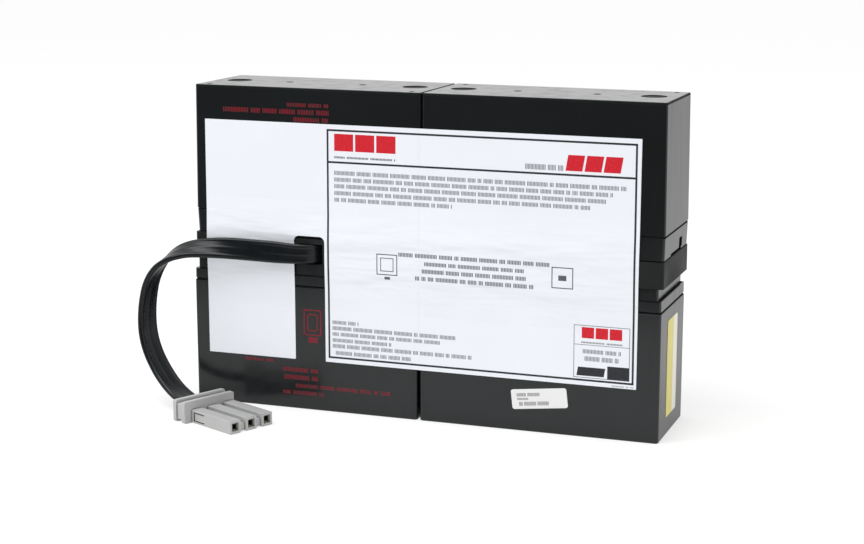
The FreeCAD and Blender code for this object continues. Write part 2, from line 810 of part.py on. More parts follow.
def place_plug(shape):
    """Set a plug piece on the ribbon's end, standing on the ground."""
    heading = ribbon_points[-1] - ribbon_points[-2]
    end = ribbon_points[-1]
    v_mid = (plug_width() + plate_far - plate_near) / 2
    placed = shape.copy()
    placed.translate(Vector(plug_depth - ribbon_pocket, -v_mid, 0))
    placed.rotate(ORIGIN, Z_AXIS, math.degrees(math.atan2(heading.y, heading.x)))
    placed.translate(Vector(end.x, end.y, 0))
    return placed


# ------------------------------------------------------- label and stickers
def front_line():
    """The cartridge's front as (y, z) points, from the base to the top.

    The line lies on the containers and bridges the lids up to the spacer.
    """
    rim_y = -battery_width / 2 - container_overhang
    base_y = rim_y + container_draft
    spacer_y = -spacer_width / 2
    joint_low = container_height - joint_chamfer
    return [
        (base_y, 0.0), (rim_y, joint_low), (spacer_y, spacer_bottom),
        (spacer_y, spacer_top), (rim_y, overall_height - joint_low), (base_y, overall_height),
    ]


def label_film():
    """A thin skin that follows the front line, long enough for any label."""
    inner = [Vector(0, y - film_gap, z) for y, z in front_line()]
    outer = [point - Vector(0, label_thickness, 0) for point in reversed(inner)]
    face = Part.Face(Part.makePolygon(inner + outer + inner[:1]))
    face.translate(Vector(upper_row_x - upper_row_half, 0, 0))
    return face.extrude(Vector(2 * upper_row_half, 0, 0))


def front_label():
    """One sheet over all four batteries, with a slot for the cable."""
    left = upper_row_x - upper_row_half
    right = upper_row_x + upper_row_half
    outline = [
        Vector(left + label_left_bottom, 0, label_bottom), Vector(right - label_right_bottom, 0, label_bottom),
        Vector(right - label_right_top, 0, label_top), Vector(left + label_left_top, 0, label_top),
    ]
    sheet = Part.Face(Part.makePolygon(outline + outline[:1]))
    depth = battery_width
    sheet.translate(Vector(0, -depth, 0))
    prism = sheet.extrude(Vector(0, depth, 0))
    slot_low = label_bottom - label_slot_round
    slot_top = spacer_bottom + outlet_height + slot_margin_top
    slot_right = outlet_x + outlet_right_margin + slot_margin_right
    slot_size = slot_margin_left + outlet_width + slot_margin_right
    slot = block(slot_size, depth, slot_top - slot_low, slot_right - slot_size / 2, -depth / 2, slot_low)
    tops = [edge for edge in level_edges(slot, slot_top) if edge.BoundBox.YLength > depth / 2]
    slot = slot.makeFillet(label_slot_round, tops)
    return label_film().common(prism.cut(slot))


def sticker(width, height, radius):
    """A thin round-cornered sticker in the XZ plane, centred on the origin."""
    plate = Part.makeBox(width, sticker_thickness, height, Vector(-width / 2, -sticker_thickness, -height / 2))
    corners = [edge for edge in plate.Edges if edge.BoundBox.YLength > sticker_thickness / 2]
    return plate.makeFillet(radius, corners)


def draft_angle():
    """Lean of the containers' walls, in degrees."""
    return math.degrees(math.atan2(container_draft, container_height))


def wall_set_back(height):
    """How far a lower container's wall stands inside the lid at this height."""
    return container_draft * (container_height - height) / container_height - container_overhang


def small_sticker():
    """The small white sticker low on the right-hand lower battery."""
    shape = sticker(small_sticker_length, small_sticker_height, small_sticker_round)
    shape.rotate(ORIGIN, Y_AXIS, -small_sticker_turn)
    shape.rotate(ORIGIN, X_AXIS, draft_angle())
    front = -battery_width / 2 + wall_set_back(small_sticker_z) - film_gap
    shape.translate(Vector(lower_row_x + small_sticker_x, front, small_sticker_z))
    return shape


def end_sticker():
    """The two-colour sticker on the right-hand end of the lower row."""
    height = end_sticker_top - end_sticker_bottom
    middle = (end_sticker_top + end_sticker_bottom) / 2
    shape = sticker(end_sticker_width, height, end_sticker_round)
    shape.rotate(ORIGIN, X_AXIS, draft_angle())
    shape.rotate(ORIGIN, Z_AXIS, 90)
    end = lower_row_x + lower_row_half - wall_set_back(middle) + film_gap
    shape.translate(Vector(end, 0, middle))
    return shape


# ------------------------------------------------------------------ build
def main():
    os.makedirs("parts", exist_ok=True)
    make_batteries()
    keep("spacer_frame", spacer_frame())
    keep("seam_pad", seam_pad())
    keep("series_link_left", series_link("left"))
    keep("series_link_right", series_link("right"))
    keep("receptacle_negative", receptacle("lower", "left"))
    keep("receptacle_positive", receptacle("lower", "right"))
    twin = (-twin_barrel_offset, twin_barrel_offset)
    keep("receptacle_jumper_left", receptacle("upper", "left", twin))
    keep("receptacle_jumper_right", receptacle("upper", "right"))
    make_leads()
    keep("ribbon_cable", ribbon_cable())
    keep("plug_housing", place_plug(plug_housing()))
    for index in range(finger_count):
        keep("plug_contact_" + str(index + 1), place_plug(plug_contact(index)))
    keep("front_label", front_label())
    keep("small_sticker", small_sticker())
    keep("end_sticker", end_sticker())
    for name, shape in made.items():
        print(name, "solids", len(shape.Solids), "valid", shape.isValid(), "volume", round(shape.Volume, 2))


main()
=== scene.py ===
"""Finishes a replacement battery cartridge: ribbon cable, print, stickers, materials and studio.

Lengths are in metres, in the cartridge's own frame: X runs along it, Y from the
labelled front to the back and Z up, with the origin under its middle.
"""

import math

import bpy
import numpy as np
from bpy.props import (
    FloatProperty, FloatVectorProperty, IntProperty, PointerProperty,
)
from bpy.types import Operator, Panel, PropertyGroup
from mathutils import Matrix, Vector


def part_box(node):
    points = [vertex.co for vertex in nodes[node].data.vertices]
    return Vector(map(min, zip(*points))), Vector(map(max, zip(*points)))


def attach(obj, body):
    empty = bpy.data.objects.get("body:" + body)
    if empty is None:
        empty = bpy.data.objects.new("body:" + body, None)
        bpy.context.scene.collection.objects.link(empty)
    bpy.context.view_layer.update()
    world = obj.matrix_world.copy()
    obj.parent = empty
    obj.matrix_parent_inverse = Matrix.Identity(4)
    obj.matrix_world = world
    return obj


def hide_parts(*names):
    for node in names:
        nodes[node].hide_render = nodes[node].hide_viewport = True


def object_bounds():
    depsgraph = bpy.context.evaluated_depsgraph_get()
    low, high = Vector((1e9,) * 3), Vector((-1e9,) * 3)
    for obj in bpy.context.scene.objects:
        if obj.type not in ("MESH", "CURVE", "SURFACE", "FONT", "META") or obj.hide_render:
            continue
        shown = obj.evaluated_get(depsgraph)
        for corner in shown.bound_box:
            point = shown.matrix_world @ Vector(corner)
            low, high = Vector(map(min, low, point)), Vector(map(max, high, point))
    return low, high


bl_info = {
    "name": "Battery Cartridge",
    "version": (1, 0, 0),
    "blender": (4, 5, 0),
    "location": "3D View > Sidebar > Cartridge",
    "description": "Adds the cable, print, materials and studio of a battery cartridge",
    "category": "Object",
}

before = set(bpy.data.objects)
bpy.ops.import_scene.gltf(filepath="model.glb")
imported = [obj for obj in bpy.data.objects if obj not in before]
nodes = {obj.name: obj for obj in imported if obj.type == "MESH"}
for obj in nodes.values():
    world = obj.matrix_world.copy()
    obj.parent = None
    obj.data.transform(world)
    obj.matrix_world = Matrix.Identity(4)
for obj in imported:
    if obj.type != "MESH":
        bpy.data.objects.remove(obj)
cad_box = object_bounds()

MM = 0.001
UP = np.array([0.0, 0.0, 1.0])
BATTERIES = (
    "battery_lower_left", "battery_lower_right", "battery_upper_left", "battery_upper_right",
)
TOP = cad_box[1][2]
# heights of the lids' edges: the joint and the spacer frame's side of a lower and an upper lid
LID_EDGES = [
    corner.z for row in ("lower", "upper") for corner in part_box("battery_" + row + "_right_lid")
]
LID_STEP = LID_EDGES[0] + 7.0 * MM  # the lower lids draw in here
MARK_DEPTH = 0.5 * MM               # of the round marks in the containers' bases
UPPER_SEAM = 0.55 * MM              # place of the gap between the upper batteries along X
INK_LIFT = 0.03 * MM                # print lies this far in front of what carries it
# height of the label's ripples, and the distances from it where they begin to fade and end
LABEL_FOLDS = (100.0 * MM, 12.0 * MM, 34.0 * MM)
NOISE_RANGE = (0.3, 0.7)            # most values of a noise lie in it


# ------------------------------------------------------------------- sizes
class CartridgeView(PropertyGroup):
    """Where the camera stands, and how it looks at the cartridge."""
    azimuth: FloatProperty(
        name="Azimuth", description="Turn of the camera round the cartridge, from its front",
        default=math.radians(18.3576), subtype="ANGLE")
    elevation: FloatProperty(
        name="Elevation", description="Height of the camera above the horizon",
        default=math.radians(9.4387), subtype="ANGLE")
    roll: FloatProperty(
        name="Roll", description="Turn of the camera about its own axis",
        default=math.radians(0.3147), subtype="ANGLE")
    distance: FloatProperty(
        name="Distance", description="Distance from the camera to the point it looks at",
        default=1.11447, unit="LENGTH")
    target: FloatVectorProperty(
        name="Target", description="The point that the camera looks at",
        default=(0.032356, 0.0, 0.133682), subtype="XYZ", unit="LENGTH")
    lens: FloatProperty(
        name="Lens", description="Focal length in millimetres", default=74.96)
    shift: FloatVectorProperty(
        name="Shift", description="Sideways and upward shift of the picture, in picture widths",
        default=(-0.0642, -0.0799), size=2)


class CartridgeCable(PropertyGroup):
    """Sizes of the flat cable."""
    width: FloatProperty(
        name="Width", description="Width of the flat cable", default=13.7 * MM, unit="LENGTH")
    thickness: FloatProperty(
        name="Thickness", description="Thickness over each conductor",
        default=3.7 * MM, unit="LENGTH")
    web: FloatProperty(
        name="Web", description="Thickness between two conductors",
        default=3.25 * MM, unit="LENGTH")
    conductors: IntProperty(
        name="Conductors", description="Number of conductors side by side", default=3)
    length: FloatProperty(
        name="Length", description="Length from the wiring space to the plug",
        default=0.2457, unit="LENGTH")


class CartridgeFinish(PropertyGroup):
    """Colours of the plastics, the film and the print, and the gloss of the cases."""
    plastic: FloatVectorProperty(
        name="Case plastic", description="Colour of the battery containers and lids",
        default=(0.0105, 0.0122, 0.0128), subtype="COLOR", size=3)
    plastic_roughness: FloatProperty(
        name="Case roughness", description="Roughness of the battery containers", default=0.17)
    spacer: FloatVectorProperty(
        name="Spacer plastic", description="Colour of the spacer frame",
        default=(0.016, 0.018, 0.017), subtype="COLOR", size=3)
    sheet: FloatVectorProperty(
        name="Label", description="Colour of the label film",
        default=(0.86, 0.885, 0.935), subtype="COLOR", size=3)
    red: FloatVectorProperty(
        name="Red print", description="Colour of the label's red fields",
        default=(0.63, 0.014, 0.027), subtype="COLOR", size=3)
    case_red: FloatVectorProperty(
        name="Case print", description="Colour of the red marks on the containers",
        default=(0.245, 0.007, 0.018), subtype="COLOR", size=3)
    black: FloatVectorProperty(
        name="Black print", description="Colour of the label's dark lines",
        default=(0.030, 0.032, 0.038), subtype="COLOR", size=3)
    grey: FloatVectorProperty(
        name="Grey print", description="Colour of the label's fine lines",
        default=(0.115, 0.12, 0.135), subtype="COLOR", size=3)
    yellow: FloatVectorProperty(
        name="Yellow sticker", description="Colour of the end sticker's front part",
        default=(0.80, 0.72, 0.20), subtype="COLOR", size=3)
    cable: FloatVectorProperty(
        name="Cable", description="Colour of the cable's insulation",
        default=(0.0065, 0.0085, 0.010), subtype="COLOR", size=3)
    plug: FloatVectorProperty(
        name="Plug", description="Colour of the plug's housing",
        default=(0.465, 0.468, 0.462), subtype="COLOR", size=3)


class CartridgeStudio(PropertyGroup):
    """Brightness of the lamp and the room, and size and brightness of the floor."""
    room: FloatProperty(
        name="Room light", description="Brightness of the white room", default=0.80)
    key: FloatProperty(
        name="Key light", description="Power of the large lamp above", default=14.0, unit="POWER")
    sheet_front: FloatProperty(
        name="White floor", description="How far the white floor reaches in front of the cartridge",
        default=0.36, unit="LENGTH")
    lift: FloatProperty(
        name="Floor lift", description="Share of the floor's white that shadows leave alone",
        default=0.45)
    glow: FloatProperty(
        name="Floor glow", description="Brightness of that share where the floor is looked at",
        default=1.27)
    mirrored: FloatProperty(
        name="Mirrored floor", description="Brightness of that share where the floor is mirrored",
        default=0.7)


# ---------------------------------------------------------------- surfaces
def grid_faces(rows, columns, wrap_columns=False):
    """Quads between neighbouring points of a grid, with indices worked out as whole arrays."""
    across = np.arange(columns if wrap_columns else columns - 1)
    a, b = np.meshgrid(np.arange(rows - 1), across, indexing="ij")
    here = a * columns
    there = here + columns
    next_b = (b + 1) % columns
    return np.stack((here + b, here + next_b, there + next_b, there + b), -1).reshape(-1, 4)


def place_object(name, data):
    """A new object in the scene, at the origin."""
    holder = bpy.data.objects.new(name, data)
    bpy.context.scene.collection.objects.link(holder)
    return holder


def add_mesh(name, points, faces, material, smooth=False):
    """A mesh object at the origin, from an array of points and a list of faces."""
    mesh = bpy.data.meshes.new(name)
    mesh.from_pydata(points.reshape(-1, 3).tolist(), [], faces)
    mesh.polygons.foreach_set("use_smooth", [smooth] * len(mesh.polygons))
    mesh.materials.append(material)
    mesh.update()
    return place_object(name, mesh)


def add_piece(name, points, faces, material, smooth=False):
    """A mesh object that rides on the cartridge."""
    piece = add_mesh(name, points, faces, material, smooth)
    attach(piece, "root")
    return piece


def unit(vectors):
    """The vectors, each divided by its length."""
    return vectors / np.linalg.norm(vectors, axis=-1, keepdims=True)


def looking_back(right, up, back, place):
    """The matrix of a camera or lamp at a place that looks away from its back direction."""
    rows = np.eye(4)
    rows[:3, :] = np.stack([right, up, back, place], -1)
    return Matrix(rows.tolist())


# --------------------------------------------------------------- materials
class Shading:
    """A tree of shader nodes under construction, and short ways to add to it."""

    def __init__(self, tree):
        self.tree = tree

    def node(self, kind, **settings):
        """A new node with these settings."""
        made = self.tree.nodes.new(kind)
        for key, value in settings.items():
            setattr(made, key, value)
        return made

    def link(self, source, target):
        """Joins an output to an input."""
        self.tree.links.new(source, target)

    def ramp(self, value, low, high, out_low=0.0, out_high=1.0):
        """The value, carried from one range to another and held at its ends."""
        made = self.node("ShaderNodeMapRange")
        ends = {"From Min": low, "From Max": high, "To Min": out_low, "To Max": out_high}
        for key, number in ends.items():
            made.inputs[key].default_value = number
        self.link(value, made.inputs["Value"])
        return made.outputs["Result"]

    def math(self, operation, first, second=0.0):
        """The result of an operation on a value and a number or another value."""
        made = self.node("ShaderNodeMath", operation=operation)
        self.link(first, made.inputs[0])
        if isinstance(second, float):
            made.inputs[1].default_value = second
        else:
            self.link(second, made.inputs[1])
        return made.outputs["Value"]

    def most(self, first, *others):
        """The largest of several values."""
        for other in others:
            first = self.math("MAXIMUM", first, other)
        return first

    def product(self, first, *others):
        """A value times numbers or other values."""
        for other in others:
            first = self.math("MULTIPLY", first, other)
        return first


def shaded(colour, share):
    """The colour, darker or lighter by a share."""
    return tuple(min(channel * share, 1.0) for channel in colour)


class Finish(Shading):
    """A material under construction, round a principled shader."""

    def __init__(self, name, colour, roughness, metallic=0.0):
        self.material = bpy.data.materials.new(name)
        self.material.use_nodes = True
        super().__init__(self.material.node_tree)
        self.shader = self.tree.nodes["Principled BSDF"]
        self.shader.inputs["Base Color"].default_value = (*colour, 1.0)
        self.shader.inputs["Roughness"].default_value = roughness
        self.shader.inputs["Metallic"].default_value = metallic

    def place(self, times=(1.0, 1.0, 1.0), coordinate="Object"):
        """Coordinates of the piece, each times a number."""
        source = self.node("ShaderNodeTexCoord")
        mapping = self.node("ShaderNodeMapping")
        mapping.inputs["Scale"].default_value = times
        self.link(source.outputs[coordinate], mapping.inputs["Vector"])
        return mapping.outputs["Vector"]

    def noise(self, scale, detail=3.0, times=(1.0, 1.0, 1.0), coordinate="Object"):
        """Cloudy noise with this many features in a metre, times a number along each axis.

        On UV coordinates the features are counted over the whole map instead of a metre.
        """
        made = self.node("ShaderNodeTexNoise")
        made.inputs["Scale"].default_value = scale
        made.inputs["Detail"].default_value = detail
        self.link(self.place(times, coordinate), made.inputs["Vector"])
        return made.outputs["Fac"]

    def level(self, axis):
        """Place along an axis of the cartridge."""
        made = self.node("ShaderNodeSeparateXYZ")
        self.link(self.place(), made.inputs["Vector"])
        return made.outputs[axis]

    def near(self, axis, middle, inside, outside):
        """1 close to a level of an axis, falling to 0 from one distance to another."""
        away = self.math("ABSOLUTE", self.math("SUBTRACT", self.level(axis), middle))
        return self.ramp(away, inside, outside, 1.0, 0.0)

    def mix(self, factor, first, second):
        """A colour between two colours."""
        made = self.node("ShaderNodeMix", data_type="RGBA")
        self.link(factor, made.inputs["Factor"])
        made.inputs["A"].default_value = (*first, 1.0)
        made.inputs["B"].default_value = (*second, 1.0)
        return made.outputs["Result"]

    def colour(self, value):
        """Gives the surface a colour that varies over it."""
        self.link(value, self.shader.inputs["Base Color"])

    def clouds(self, value, low, high, colour, darker, lighter):
        """Lets the colour drift between two shares of itself while a value runs over its range."""
        share = self.ramp(value, low, high)
        self.colour(self.mix(share, shaded(colour, darker), shaded(colour, lighter)))

    def roughness(self, value):
        """Gives the surface a roughness that varies over it."""
        self.link(value, self.shader.inputs["Roughness"])

    def shine(self, strength):
        """Strength of the mirror reflection, where 0.5 is that of plain plastic."""
        self.shader.inputs["Specular IOR Level"].default_value = strength

    def bump(self, value, depth, strength=1.0, under=None):
        """Surface relief of this depth in metres, over another relief if one is given."""
        made = self.node("ShaderNodeBump")
        made.inputs["Strength"].default_value = strength
        made.inputs["Distance"].default_value = depth
        self.link(value, made.inputs["Height"])
        if under:
            self.link(under, made.inputs["Normal"])
        self.link(made.outputs["Normal"], self.shader.inputs["Normal"])
        return made.outputs["Normal"]

    def darken_crevices(self, reach):
        """Paints shade into the colour in the piece's own slits and inner corners, this far from a
        wall.
        """
        colour = self.shader.inputs["Base Color"].links[0].from_socket
        hollow = self.node("ShaderNodeAmbientOcclusion", only_local=True)
        hollow.inputs["Distance"].default_value = reach
        scaled = self.node("ShaderNodeVectorMath", operation="SCALE")
        self.link(colour, scaled.inputs[0])
        self.link(self.ramp(hollow.outputs["AO"], 0.35, 0.8, 0.12), scaled.inputs["Scale"])
        self.colour(scaled.outputs["Vector"])


def moulded_plastic(name, colour, roughness, grain=900.0, grain_depth=0.02 * MM,
                    wave_depth=0.06 * MM, shine=0.5, crevice_shade_reach=0.0):
    """Moulded plastic: fine grain, faint sink waves, smudged gloss and slight colour clouds."""
    finish = Finish(name, colour, roughness)
    finish.shine(shine)
    clouds = finish.noise(14.0, detail=4.0)
    finish.clouds(clouds, *NOISE_RANGE, colour, darker=0.86, lighter=1.14)
    smudge = finish.noise(38.0, detail=5.0)
    finish.roughness(finish.ramp(smudge, 0.3, 0.72, roughness * 0.86, roughness * 1.22))
    waves = finish.bump(finish.noise(22.0, detail=1.0), wave_depth)
    finish.bump(finish.noise(grain, detail=2.0), grain_depth, strength=0.6, under=waves)
    # painted shade: the colour darkens in the piece's own slits and inner corners
    if crevice_shade_reach:
        finish.darken_crevices(crevice_shade_reach)
    return finish.material


def case_plastic(name, colours):
    """Glossy black container plastic, with scuffs that catch the light and dull floors in its marks.

    Painted shade: it loses its mirror reflection and stays black along the joint lines and the edges
    against the spacer frame and on the inner part of the lower lids' step. It is kept black the same
    way round the top edges.
    """
    gloss = colours.plastic_roughness
    finish = Finish(name, colours.plastic, gloss)
    finish.clouds(finish.noise(9.0), 0.35, 0.65, colours.plastic, darker=0.9, lighter=1.12)
    facing = finish.node("ShaderNodeSeparateXYZ")
    normal = finish.node("ShaderNodeNewGeometry").outputs["True Normal"]
    finish.link(normal, facing.inputs["Vector"])
    levelness = facing.outputs["Z"]
    upward = finish.ramp(levelness, 0.95, 0.98)
    sideways = finish.ramp(levelness, 0.95, 0.98, 0.85, 0.0)
    mark_floors = finish.near("Z", TOP - MARK_DEPTH, 0.1 * MM, 0.15 * MM)
    floors = finish.product(upward, mark_floors, 0.5)
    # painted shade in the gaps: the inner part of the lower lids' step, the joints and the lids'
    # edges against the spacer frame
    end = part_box("battery_lower_right_lid")[1].x
    outward = finish.math("ABSOLUTE", finish.level("X"))
    inner = finish.ramp(outward, end - 0.8 * MM, end - 0.6 * MM, 1.0, 0.0)
    step = finish.product(inner, finish.near("Z", LID_STEP, 0.3 * MM, 0.5 * MM))
    edges = [finish.near("Z", height, 0.55 * MM, 0.85 * MM) for height in LID_EDGES]
    rim = finish.product(sideways, finish.near("Z", TOP, 1.2 * MM, 1.6 * MM))
    dark = finish.most(step, *edges, rim, floors)
    # where the painted shade lies, the mirror reflection is taken away so the surface stays black
    shine = finish.ramp(dark, 0.0, 1.0, 0.5, 0.03)
    finish.link(shine, finish.shader.inputs["Specular IOR Level"])
    scuffs = finish.noise(120.0, detail=6.0, times=(1.0, 1.0, 0.18))
    scuffed = finish.ramp(scuffs, 0.45, 0.8, gloss, gloss * 1.5)
    dull = finish.most(floors, finish.product(dark, 0.5))
    finish.roughness(finish.math("ADD", scuffed, dull))
    waves = finish.bump(finish.noise(12.0, detail=0.0), 0.05 * MM)
    finish.bump(finish.noise(1500.0, detail=2.0), 0.006 * MM, strength=0.5, under=waves)
    return finish.material


def label_film(name, colour, folds=None):
    """Satin white film: faint mottling, slow waves and fine tooth.

    Folds are given like LABEL_FOLDS.  A folded film also sinks a little along the upright seam
    between the upper batteries.
    """
    finish = Finish(name, colour, 0.38)
    mottle = finish.noise(26.0, detail=4.0)
    finish.clouds(mottle, *NOISE_RANGE, colour, darker=0.985, lighter=1.01)
    finish.roughness(finish.ramp(finish.noise(60.0), *NOISE_RANGE, 0.33, 0.45))
    relief = finish.bump(finish.noise(16.0, detail=1.0, times=(0.5, 1.0, 2.2)), 0.35 * MM)
    if folds:
        crumple = finish.noise(70.0, detail=2.0, times=(0.3, 1.0, 1.4))
        ripples = finish.product(crumple, finish.near("Z", *folds))
        relief = finish.bump(ripples, 2.6 * MM, under=relief)
        sunk = finish.near("X", UPPER_SEAM, 0.2 * MM, 2.2 * MM)
        relief = finish.bump(sunk, -0.22 * MM, under=relief)
    finish.bump(finish.noise(2600.0, detail=2.0), 0.008 * MM, strength=0.5, under=relief)
    return finish.material


def ink(name, colour):
    """Printed ink: slightly uneven in density."""
    finish = Finish(name, colour, 0.42)
    finish.shine(0.25)
    finish.clouds(finish.noise(700.0), 0.35, 0.7, colour, darker=0.9, lighter=1.18)
    return finish.material


def worn_ink(name, colour, under):
    """Old stamped ink on dark plastic: patchy, so the plastic shows through."""
    finish = Finish(name, colour, 0.4)
    finish.shine(0.3)
    patches = finish.ramp(finish.noise(420.0, detail=5.0), 0.38, 0.72, 0.0, 0.75)
    finish.colour(finish.mix(patches, colour, shaded(under, 3.0)))
    return finish.material


def cable_insulation(name, colour):
    """Smooth black insulation with fine drawn lines along the cable."""
    finish = Finish(name, colour, 0.26)
    finish.shine(0.34)
    lines = finish.noise(3.0, detail=4.0, times=(2.0, 60.0, 1.0), coordinate="UV")
    finish.clouds(lines, *NOISE_RANGE, colour, darker=0.85, lighter=1.2)
    finish.roughness(finish.ramp(finish.noise(90.0, detail=4.0), *NOISE_RANGE, 0.24, 0.34))
    finish.bump(lines, 0.03 * MM, strength=0.4)
    return finish.material


def sheet_metal(name, colour, roughness):
    """Rolled or plated metal: fine streaks and dull patches."""
    finish = Finish(name, colour, roughness, 1.0)
    streaks = finish.noise(500.0, times=(1.0, 1.0, 0.12))
    finish.roughness(finish.ramp(streaks, *NOISE_RANGE, roughness * 0.8, roughness * 1.4))
    finish.bump(streaks, 0.015 * MM, strength=0.4)
    return finish.material


def closed_foam(name):
    """Black closed-cell foam with small open pores on its cut faces."""
    finish = Finish(name, (0.02, 0.02, 0.021), 0.85)
    pores = finish.node("ShaderNodeTexVoronoi")
    pores.inputs["Scale"].default_value = 1400.0
    finish.link(finish.place(), pores.inputs["Vector"])
    finish.bump(pores.outputs["Distance"], 0.2 * MM)
    return finish.material


def end_sticker_paper(name, yellow):
    """Yellow on the front three fifths and white behind, with a soft printed border between."""
    finish = Finish(name, yellow, 0.4)
    low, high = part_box("end_sticker")
    edge = low.y + 0.6 * (high.y - low.y)
    side = finish.ramp(finish.level("Y"), edge - 0.2 * MM, edge + 0.2 * MM)
    finish.colour(finish.mix(side, yellow, (0.90, 0.88, 0.78)))
    finish.roughness(finish.ramp(finish.noise(90.0), *NOISE_RANGE, 0.34, 0.48))
    finish.bump(finish.noise(1800.0, detail=2.0), 0.01 * MM, strength=0.5)
    return finish.material


def dress(node, material):
    """Gives a frame piece a material in all its slots."""
    slots = nodes[node].data.materials
    if not slots:
        slots.append(material)
    for index in range(len(slots)):
        slots[index] = material


# ------------------------------------------------------------------- print
def skin_of(node):
    """The front skin of a node as (heights, depths), read from its own corners."""
    mesh = nodes[node].data
    corners = np.empty(len(mesh.vertices) * 3)
    mesh.vertices.foreach_get("co", corners)
    corners = corners.reshape(-1, 3)
    heights, group = np.unique(np.round(corners[:, 2], 5), return_inverse=True)
    depths = np.full(len(heights), np.inf)
    np.minimum.at(depths, group, corners[:, 1])
    return heights, depths


def print_fields(name, fields, material, skin, lift=INK_LIFT):
    """One mesh of upright fields that follow a skin.

    Each field is (left, right, low, high, slant) in millimetres.  A field becomes a grid two points
    wide, with a row at its low edge, its high edge and each fold of the skin between them: x runs
    evenly from left to right and leans by the slant over the height, z is the row's height, and y is
    the skin's depth at that height, less the lift.
    """
    left, right, low, high, slant = (column[:, None] for column in np.asarray(fields, float).T * MM)
    folds, depths = skin
    z = np.sort(np.hstack([low, high, np.clip(folds[None], low, high)]), axis=1)
    lean = slant * (z - low) / (high - low)
    y = np.interp(z, folds, depths) - lift
    rows = z.shape[1]
    sides = [np.stack([side + lean, y, z], -1) for side in (left, right)]
    points = np.stack(sides, 2)
    starts = 2 * rows * np.arange(len(z))[:, None, None]
    faces = grid_faces(rows, 2).reshape(1, -1, 4) + starts
    not_folded_away = np.diff(z, axis=1) > 0.01 * MM
    return add_piece(name, points, faces[not_folded_away].tolist(), material)


def bar(left, right, low, high, slant=0.0):
    """One field."""
    return [(left, right, low, high, slant)]


def border(left, right, low, high, width):
    """Four lines round a box."""
    sides = bar(left, left + width, low, high) + bar(right - width, right, low, high)
    return sides + bar(left, right, low, low + width) + bar(left, right, high - width, high)


def fine_row(left, right, low, high, seed, pitch=0.86, stroke=0.46):
    """A row of even ticks in word-long groups, which reads as fine print from a distance."""
    chance = np.random.default_rng(seed)
    shortest, longest = 3, 16
    space = 1.3 * pitch
    top = low + 0.8 * (high - low)
    fields = []
    place = left
    while place + stroke < right:
        for _ in range(int(chance.integers(shortest, longest + 1))):
            if place + stroke > right:
                break
            fields += bar(place, place + stroke, low, top)
            place += pitch
        place += space
    return fields


def fine_rows(rows, seed, *weight):
    """Rows of ticks, each with its own seed; a weight is a pitch and a stroke."""
    fields = []
    for index, row in enumerate(rows):
        fields += fine_row(*row[:4], seed + index, *(row[4:] or weight))
    return fields


# ------------------------------------------------------------------- cable
# from the wiring space out of the outlet, round to the left and down to the plug
RIBBON_ROUTE = [
    (-0.0662, -0.0120, 0.1006), (-0.0662, -0.0383, 0.1006), (-0.1034, -0.0396, 0.1017),
    (-0.1354, -0.0412, 0.1024), (-0.1614, -0.0426, 0.0989), (-0.1778, -0.0433, 0.0838),
    (-0.1832, -0.0434, 0.0600), (-0.1809, -0.0454, 0.0374), (-0.1654, -0.0528, 0.0178),
    (-0.1470, -0.06061, 0.00675), (-0.1344, -0.06655, 0.00675),
]
# share of the whole twist that is reached at each share of the length
RIBBON_TWIST = (
    (0.0, 0.0), (0.13, 0.0), (0.22, 0.05), (0.30, 0.13), (0.38, 0.31), (0.42, 0.41),
    (0.46, 0.51), (0.50, 0.66), (0.53, 0.79), (0.56, 0.87), (0.60, 0.935), (0.66, 0.985),
    (0.74, 1.04), (0.84, 1.08), (0.92, 1.06), (1.0, 1.0),
)
# share of the whole width: the cable is drawn in where it passes the outlet and enters the plug
RIBBON_WIDTH = ((0.0, 0.88), (0.11, 0.88), (0.19, 1.0), (0.94, 1.0), (0.985, 0.89), (1.0, 0.89))


def smooth_line(name, route):
    """Points of a smooth spline that has the route's points as its control points."""
    curve = bpy.data.curves.new(name, "CURVE")
    curve.dimensions = "3D"
    curve.resolution_u = 24
    spline = curve.splines.new("NURBS")
    spline.points.add(len(route) - 1)
    for point, place in zip(spline.points, route):
        point.co = (*place, 1.0)
    spline.order_u = 3
    spline.use_endpoint_u = True
    holder = bpy.data.objects.new(name, curve)
    mesh = bpy.data.meshes.new_from_object(holder)
    points = np.empty(len(mesh.vertices) * 3)
    mesh.vertices.foreach_get("co", points)
    bpy.data.objects.remove(holder)
    bpy.data.meshes.remove(mesh)
    bpy.data.curves.remove(curve)
    return points.reshape(-1, 3)


def carry(points, across):
    """Headings of a line, and a width direction carried along it without twist."""
    headings = unit(np.gradient(points, axis=0))
    width = np.empty_like(points)
    for index, heading in enumerate(headings):
        across = unit(across - heading * across.dot(heading))
        width[index] = across
    return headings, width


def ribbon_section(cable, samples=96):
    """Outline of the flat cable: each side is the larger of a web and a circle over each conductor.

    The angle runs once round.  Its cosine gives the place across the width, and its sine the side.
    """
    angle = np.linspace(0.0, 2.0 * math.pi, samples, endpoint=False)
    radius = cable.thickness / 2
    half = cable.width / 2
    pitch = (cable.width - cable.thickness) / (cable.conductors - 1)
    crowding = 0.8  # under 1, so the points sit closer together towards both edges
    place = half * np.sign(np.cos(angle)) * np.abs(np.cos(angle)) ** crowding
    centres = (np.arange(cable.conductors) - (cable.conductors - 1) / 2) * pitch
    away = np.abs(place[:, None] - centres[None]).min(axis=1)
    circle = np.sqrt(np.clip(radius ** 2 - away ** 2, 0.0, None))
    inside = np.abs(place) < centres[-1]
    height = np.where(inside, np.maximum(circle, cable.web / 2), circle)
    return place, height * np.sign(np.sin(angle))


def closed_tube(rings):
    """Faces of a tube of rings, with a flat face over each end."""
    rows, columns = rings.shape[:2]
    faces = grid_faces(rows, columns, wrap_columns=True).tolist()
    first = list(range(columns))
    last = list(range((rows - 1) * columns, rows * columns))
    return faces + [first[::-1], last]


